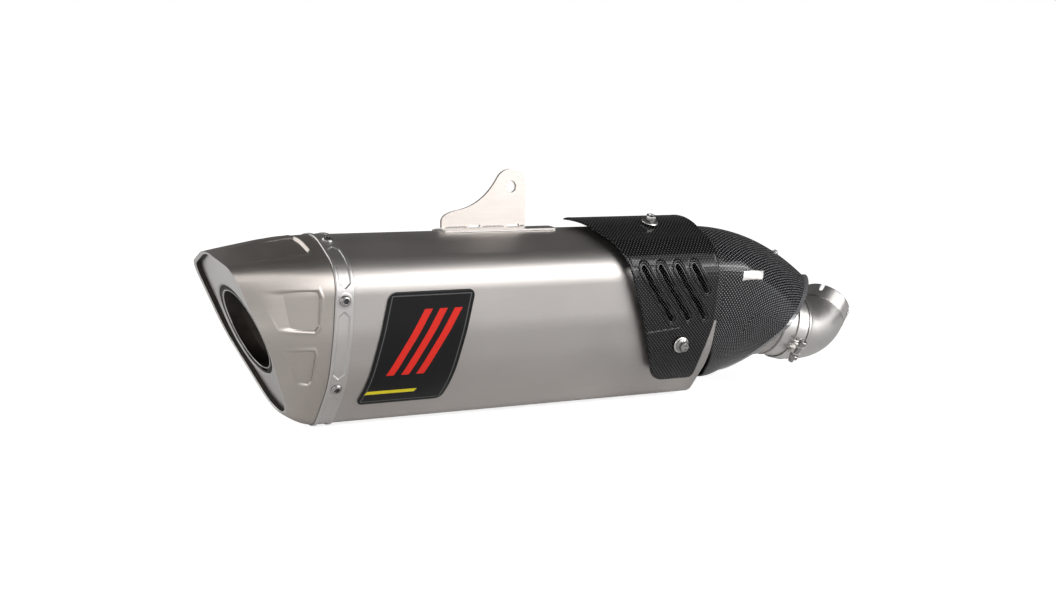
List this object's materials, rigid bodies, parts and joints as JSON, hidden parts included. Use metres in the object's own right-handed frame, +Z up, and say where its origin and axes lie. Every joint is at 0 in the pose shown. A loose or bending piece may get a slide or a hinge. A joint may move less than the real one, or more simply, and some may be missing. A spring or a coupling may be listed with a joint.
{
  "type": "motorcycle racing exhaust silencer",
  "caption": "Slip-on racing exhaust silencer: faceted metal canister, slanted outlet cap with removable damper, slotted heat shield, hanger bracket and clamped elbow inlet.",
  "frame": {"origin": "centre of the hanger bracket's bolt hole, midway through its plate", "axes": "+X along the canister from the outlet towards the inlet pipe, +Z up, -Y the side the heat shield wraps"},
  "size_m": [0.6486, 0.1307, 0.2078],
  "materials": {
    "titanium": "satin brushed titanium",
    "cap_titanium": "satin titanium, slightly warmer",
    "bright_steel": "bright brushed stainless steel",
    "polished_steel": "polished stainless steel",
    "dark_steel": "heat-darkened, matt",
    "steel": "plain stainless steel",
    "carbon": "lacquered twill carbon fibre",
    "wool": "loose fibre packing",
    "graphite": "graphite, matt",
    "emblem": "black, glossy"
  },
  "bodies": {
    "muffler": {"outer_sleeve": "titanium", "rear_strap": "bright_steel", "end_cap": "cap_titanium", "outlet_liner": "bright_steel", "outlet_tube": "dark_steel", "core_tube": "steel", "rear_baffle": "steel", "front_baffle": "steel", "packing": "wool", "emblem_plate": "emblem", "hanger_base": "bright_steel", "hanger_bracket": "bright_steel", "front_dome": "titanium", "front_cover": "carbon", "side_shield": "carbon", "upper_shield_post": "steel", "lower_shield_post": "steel", "upper_shield_washer": "bright_steel", "lower_shield_washer": "bright_steel", "upper_shield_bolt": "steel", "lower_shield_bolt": "steel", "inlet_collar": "titanium", "rear_rivet_1": "steel", "rear_rivet_2": "steel", "rear_rivet_3": "steel", "rear_rivet_4": "steel", "rear_rivet_5": "steel", "rear_rivet_6": "steel"},
    "damper": {"damper_insert": "dark_steel", "damper_clip": "steel"},
    "gasket": {"pipe_gasket": "graphite"},
    "link_pipe": {"link_elbow": "polished_steel", "slip_end": "polished_steel"},
    "clamp": {"clamp_band": "bright_steel", "clamp_bolt": "steel", "clamp_nut": "steel"}
  },
  "joints": [
    {"name": "damper_slide", "type": "slide", "parent": "muffler", "child": "damper", "axis": [-1, 0, 0], "range_m": [0, 0.1]},
    {"name": "joint_slide", "type": "slide", "parent": "muffler", "child": "gasket", "axis": [0.9703, 0, -0.2419], "range_m": [0, 0.03]},
    {"name": "link_turn", "type": "hinge", "parent": "gasket", "child": "link_pipe", "pos_m": [0.3045, -0.003, -0.1387], "axis": [0.9703, 0, -0.2419], "range_deg": [-20, 20]},
    {"name": "clamp_turn", "type": "hinge", "parent": "muffler", "child": "clamp", "pos_m": [0.3045, -0.003, -0.1387], "axis": [0.9703, 0, -0.2419], "range_deg": [-15, 15]}
  ]
}
